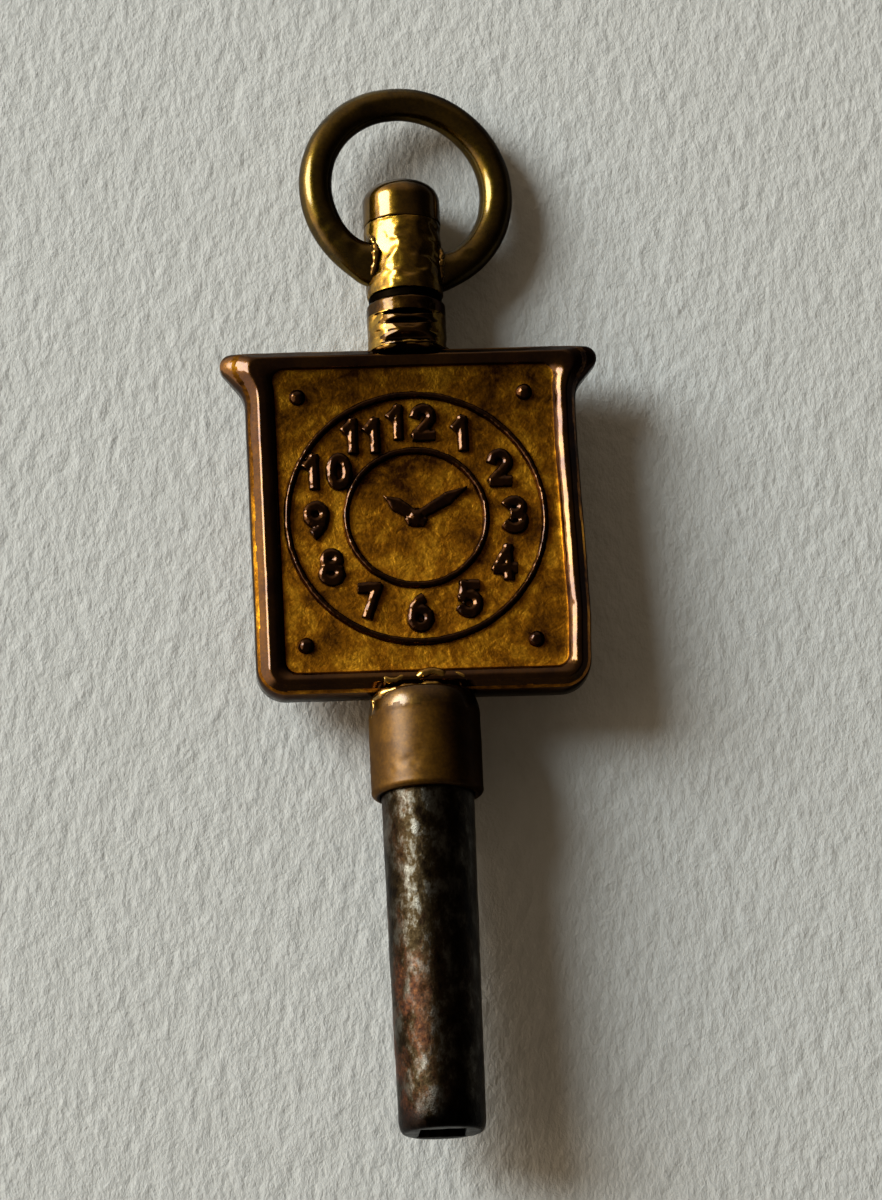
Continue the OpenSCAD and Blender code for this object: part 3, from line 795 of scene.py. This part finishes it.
def ream(points, r, within):
    """Brings the points that lie within that radius of the axis back to the true round of radius r."""
    for point in points:
        reach = hypot(point.co.x, point.co.z)
        if reach < within:
            point.co.x *= r / reach
            point.co.z *= r / reach


for point in sleeve.data.vertices:  # its ends and its bore stay true, so it turns free
    point.co.y = min(max(point.co.y, sleeve_y0), sleeve_y1)
ream(sleeve.data.vertices, sleeve_bore, sleeve_bore + 0.2)
# Yellow brass, hammered and polished by the fingers: golden, with facets that flash white.
sleeve_brass = aged_brass("yellow_brass_hammered", "#b68a22", "#6c4c0c", "#241404",
                          blotch=0.7, smooth=0.18, dull=0.28, scratch=0.2, film=0.85, film_gloss=0.12)
sleeve.data.materials.append(sleeve_brass)
bring_to_frame(sleeve, 50)
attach(sleeve, "bow")
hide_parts("swivel_sleeve")


# The ring: a bow of round brass wire, bent to a circle, with its ends flared and brazed to the sleeve. It is
# polished by the chain and the hand, and tarnished olive brown.

WIRE_POINTS, RING_STEPS = 56, 200
eye = next(m for m in frame["record"]["mounts"] if m["name"] == "ring_eye")
bow_turn = atan2(eye["axis"][0], eye["axis"][2])
ring_r, wire_r, ring_shift = 3.33, 0.59, 0.2
ring_y = box_mm("bow_ring")[1].y - ring_r - wire_r
end_x = 0.95  # the wire's ends stop inside the sleeve's wall
right_end = -acos((end_x - ring_shift) / ring_r)
left_end = 2 * pi - acos((-end_x - ring_shift) / ring_r)
flare_from = 0.45  # from an end of the wire to where its flare begins to thin out

ring_sections = []
for i in range(RING_STEPS + 1):
    a = right_end + (left_end - right_end) * i / RING_STEPS
    from_right, from_left = (a - right_end) * ring_r - flare_from, (left_end - a) * ring_r - flare_from
    web = 0.42 * exp(-max(from_left, 0) / 0.34) + 0.24 * exp(-max(from_right, 0) / 0.3)
    out = Vector((cos(a), sin(a), 0))
    middle = Vector((ring_shift, ring_y, 0)) + out * (ring_r - 0.8 * web)
    section = []
    for k in range(WIRE_POINTS):
        b = 2 * pi * k / WIRE_POINTS
        to_front = Vector((0, 0, sin(b) * (wire_r + 0.2 * web)))
        section.append(middle + out * cos(b) * (wire_r + web) + to_front)
    ring_sections.append(section)
bow_ring = draw_up("bow_ring_wire", ring_sections)
ream([point for point in bow_ring.data.vertices if point.co.y < ring_y], sleeve_bore + 0.1, sleeve_bore + 0.1)
make_uneven(bow_ring, 1.3, 0.035)
for place, reach, push in (((-2.5, 32.0, 0.5), 0.35, (0.0, 0.03, -0.05)),  # knocks from the chain
                           ((-2.9, 32.5, 0.45), 0.3, (0.03, 0, -0.05)),
                           ((-1.9, 31.5, 0.6), 0.35, (0, 0, -0.06)),
                           ((2.2, 31.5, 0.55), 0.3, (0, 0.02, -0.05))):
    dent(bow_ring.data.vertices, place, reach, push)
bow_ring.data.transform(Matrix.Rotation(bow_turn, 4, "Y"))
# Brass wire, drawn, bent and tarnished: a smooth olive brown that mirrors the lamp in one bright line.
ring_brass = aged_brass("brass_wire_drawn_tarnished", "#70560c", "#4b3807", "#140a02",
                        blotch=1.1, smooth=0.18, dull=0.26, scratch=0.2, film=0.62, film_gloss=0.13)
bow_ring.data.materials.append(ring_brass)
bring_to_frame(bow_ring, 60)
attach(bow_ring, "bow")
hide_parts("bow_ring")


# The swivel pin: a turned brass rivet with a broad domed head, set through the sleeve into the neck. It holds
# the sleeve and lets it turn.

PIN_POINTS = 128
pin_low, pin_high = box_mm("swivel_pin")
head_r, shank_r = pin_high.x, 0.65
head_y0, head_edge = sleeve_y1 + 0.02, 0.03
head_band = 0.8  # how tall the head's straight side is
pin_profile = [(0, pin_low.y), (shank_r, pin_low.y), (shank_r, head_y0), (head_r - head_edge, head_y0),
               (head_r - 0.01, head_y0 + 0.01), (head_r, head_y0 + head_edge)]
pin_profile += [(head_r, head_y0 + head_edge + head_band * i / 16) for i in range(1, 17)]
dome_y = pin_profile[-1][1]
for i in range(1, 29):  # the soft shoulder and the low dome
    a = radians(90 * i / 28)
    pin_profile.append((head_r * cos(a) ** 0.8 if i < 28 else 0,
                        dome_y + (pin_high.y - dome_y) * sin(a) ** 0.9))
pin = turned("swivel_pin_rivet", pin_profile, PIN_POINTS)
make_uneven(pin, 1.1, 0.03)
# Brass, turned and worn to a polish: a brown gold with a broad white flash down the head.
pin_brass = aged_brass("brass_turned_polished", "#866212", "#5e420a", "#2c1a06",
                       blotch=1.0, smooth=0.17, dull=0.25, scratch=0.2, film=0.9, film_gloss=0.11)
pin.data.materials.append(pin_brass)
bring_to_frame(pin, 50)
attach(pin, "key")
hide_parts("swivel_pin")


# The brazing: yellow brazing metal that ran into the joints and froze there, over the ferrule's shoulder and
# the plate's lower rim, round the neck's foot, and in drops where the ring meets its sleeve.

# Brazing metal as it froze: bright yellow, lumpy and mirroring, with brown in its folds that is part grime
# and part painted shade.
braze_brass = aged_brass("brazing_metal_run", "#c79a3c", "#8c6220", "#4a3010",
                         blotch=0.6, smooth=0.16, dull=0.26, scratch=0.2, film=0.9, film_gloss=0.1)
BEAD_POINTS = 20


def run_of_braze(name, runs):
    """Beads of metal that ran along a joint: each is a list of places and the bead's radius there, in mm."""
    strands = []
    for bead in runs:
        sections = []
        for k, (place, r) in enumerate(bead):
            ahead = Vector(bead[min(k + 1, len(bead) - 1)][0]) - Vector(bead[max(k - 1, 0)][0])
            side_way = ahead.cross(Vector((0, 1, 0.3))).normalized()
            up_way = side_way.cross(ahead).normalized()
            turns = [2 * pi * j / BEAD_POINTS for j in range(BEAD_POINTS)]
            sections.append([Vector(place) + (side_way * cos(b) + up_way * sin(b)) * r for b in turns])
        strands.append(draw_up(name, sections))
    braze = fuse(name, strands, voxel=0.03, passes=6)
    make_uneven(braze, 0.5, 0.06)
    braze.data.materials.append(braze_brass)
    return braze


joint_r, crescent_r, trickle_r = 1.5, 1.8, 1.9  # how far from the axis each run lies
beads = []
for side in (1, -1):
    joint_run, rim_run = [], []
    for i in range(61):  # in the joint, round the ferrule's shoulder
        a = radians(-80 + 160 * i / 60)
        y = plate_y0 - 0.03 + 0.03 * sin(7 * a)
        joint_run.append(((joint_r * sin(a), y, side * joint_r * cos(a)),
                          0.13 + 0.04 * sin(11 * a) + 0.02 * sin(23 * a + 1) - 0.05 * abs(a)))
    for i in range(61):  # over the plate's lower rim
        x = -1.75 + 3.6 * i / 60
        y = plate_y0 + 0.5 + 0.1 * sin(2.3 * x + 0.6) + 0.05 * sin(7 * x)
        fade = sin(pi * (i + 2) / 64) ** 0.5
        rim_run.append(((x, y, side * (crest_z - 0.16 + 0.04 * sin(5 * x + 1))),
                        fade * (0.17 + 0.04 * sin(4.1 * x) + 0.03 * sin(9.3 * x + 2))))
    beads += [joint_run, rim_run]
crescent, trickle = [], []
for i in range(31):  # on the left of the ferrule's shoulder, and a trickle down from it
    t = i / 30
    a = radians(-80 + 46 * t)
    r = crescent_r - 0.1 * t
    crescent.append(((r * sin(a), plate_y0 - 0.28 + 0.2 * t, r * cos(a)),
                     0.06 + 0.14 * sin(pi * t) + 0.02 * sin(14 * t)))
    a = radians(-74 + 6 * sin(4 * t))
    trickle.append(((trickle_r * sin(a), plate_y0 - 0.2 - 0.85 * t, trickle_r * cos(a)), 0.06 - 0.03 * t))
lower_braze = run_of_braze("braze_ferrule", beads + [crescent, trickle])
bring_to_frame(lower_braze, 70)
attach(lower_braze, "key")

foot_run = []
for i in range(91):  # round the neck's foot
    a = 2 * pi * i / 90
    foot_run.append(((1.34 * cos(a), plate_y1 + 0.02 * sin(5 * a), 1.2 * sin(a)),
                     0.11 + 0.03 * sin(6 * a + 1) + 0.02 * sin(13 * a)))
upper_braze = run_of_braze("braze_neck", [foot_run])
bring_to_frame(upper_braze, 70)
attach(upper_braze, "key")

beads = []
for x, y, z, r in ((1.16, 31.3, 0.66, 0.13), (1.1, 30.98, 0.78, 0.16), (1.2, 30.74, 0.56, 0.13)):  # drops
    beads.append([((x + 0.04 * k, y + 0.05 * k, z - 0.03 * k), r * sin(pi * (k + 0.5) / 6))
                  for k in range(6)])
for side, level, tall, deep in ((-1, 31.41, 0.9, 0.67), (1, 31.12, 0.78, 0.64)):  # a seam at each end
    seam = []
    for i in range(31):
        b = radians(25 + 130 * i / 30)
        z = deep * sin(b)
        seam.append(((side * (sqrt(sleeve_r ** 2 - z ** 2) - 0.05), level + tall * cos(b), z),
                     sin(b) * (0.14 + 0.03 * sin(9 * b) + 0.02 * sin(21 * b))))
    beads.append(seam)
ring_braze = run_of_braze("braze_ring", beads)
ring_braze.data.transform(Matrix.Rotation(bow_turn, 4, "Y"))
bring_to_frame(ring_braze, 70)
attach(ring_braze, "bow")


# The floor: a sheet of pale drawing paper with a slight tooth, under the key as it lies on its ferrule.

floor_z = (cad_low.z * MM - 0.08) / MM
bpy.ops.mesh.primitive_plane_add(size=1.2, location=(0, 0.018, floor_z))
floor = bpy.context.object
floor.name = floor.data.name = "paper_floor"
floor.rotation_euler = (radians(2.1), radians(2.6), 0)
bpy.ops.object.transform_apply(location=True, rotation=True, scale=True)
# Drawing paper, mould made: an off-white, matt sheet with a soft tooth of two thirds of a millimetre.
paper, add, paper_mm = new_material("paper_toothed")
laid = add("Mapping", {"Vector": paper_mm, "Rotation": (0, 0, 0.35), "Scale": (1.35, 0.8, 1)})
tooth = add("TexNoise", {"Vector": laid, "Scale": 1.5, "Detail": 5, "Roughness": 0.62})
shade = add("ValToRGB", {"Fac": tooth}, [(0.3, "#d2d1ca"), (0.7, "#d9d8d2")])
tooth_bump = add("Bump", {"Height": tooth, "Strength": 0.48, "Distance": 0.0003})
paper_shader = add("BsdfPrincipled", {"Base Color": shade, "Roughness": 0.85, "Normal": tooth_bump})
add("OutputMaterial", {"Surface": paper_shader})
floor.data.materials.append(paper)


# The light: one large soft lamp at the upper left, a pale wall on that side, and a dim room.

key_middle = Vector((0, 0.019, 0))
lamp_way, lamp_far = Vector((-0.756, 0.385, 0.53)).normalized(), 0.8
lamp_data = bpy.data.lights.new("window_lamp", "AREA")
lamp_data.shape = "DISK"
lamp_data.size = 0.444
lamp_data.energy = 7.7
lamp_data.color = colour("#ebf8ff")[:3]
lamp = bpy.data.objects.new("window_lamp", lamp_data)
bpy.context.scene.collection.objects.link(lamp)
lamp.location = key_middle + lamp_way * lamp_far
lamp.rotation_euler = lamp_way.to_track_quat("Z", "Y").to_euler()

room = bpy.data.worlds.new("dim_room")
bpy.context.scene.world = room
room.use_nodes = True
room.node_tree.nodes.clear()
add = functools.partial(add_node, room)
room_way = add("TexCoord").outputs["Generated"]
to_window = add("VectorMath", {0: room_way, 1: (-0.98, 0.2, 0)}, operation="DOT_PRODUCT")
room_light = add("MapRange", {
    "Value": to_window.outputs["Value"], "From Min": 0.5, "From Max": 1.0, "To Min": 0.075,
    "To Max": 2.4}, interpolation_type="SMOOTHSTEP")
to_top = add("SeparateXYZ", {0: room_way})
top_light = add("MapRange", {
    "Value": to_top.outputs["Y"], "From Min": 0.4, "From Max": 0.95,
    "To Max": 0.35}, interpolation_type="SMOOTHSTEP")
all_light = add("Math", {0: room_light, 1: top_light}, operation="ADD")
room_glow = add("Background", {"Color": colour("#ffe6c6"), "Strength": all_light})
add("OutputWorld", {"Surface": room_glow})


# The camera: at the photograph's place, low over the pipe's end and close to square on, with a long lens.

camera_data = bpy.data.cameras.new("photo_camera")
camera_data.lens = 135
camera_data.sensor_width = 36
camera_data.clip_start = 0.01
camera = bpy.data.objects.new("photo_camera", camera_data)
bpy.context.scene.collection.objects.link(camera)
view_right = Vector((0.9976, -0.0447, 0.0523)).normalized()
view_back = Vector((-0.0627, -0.2787, 0.9583)).normalized()
view_up = view_back.cross(view_right).normalized()
camera.matrix_world = Matrix((view_right, view_up, view_back)).transposed().to_4x4()
camera.location = (-0.00909, -0.02509, 0.15074)
bpy.context.scene.camera = camera
bpy.context.scene.view_settings.view_transform = "Standard"
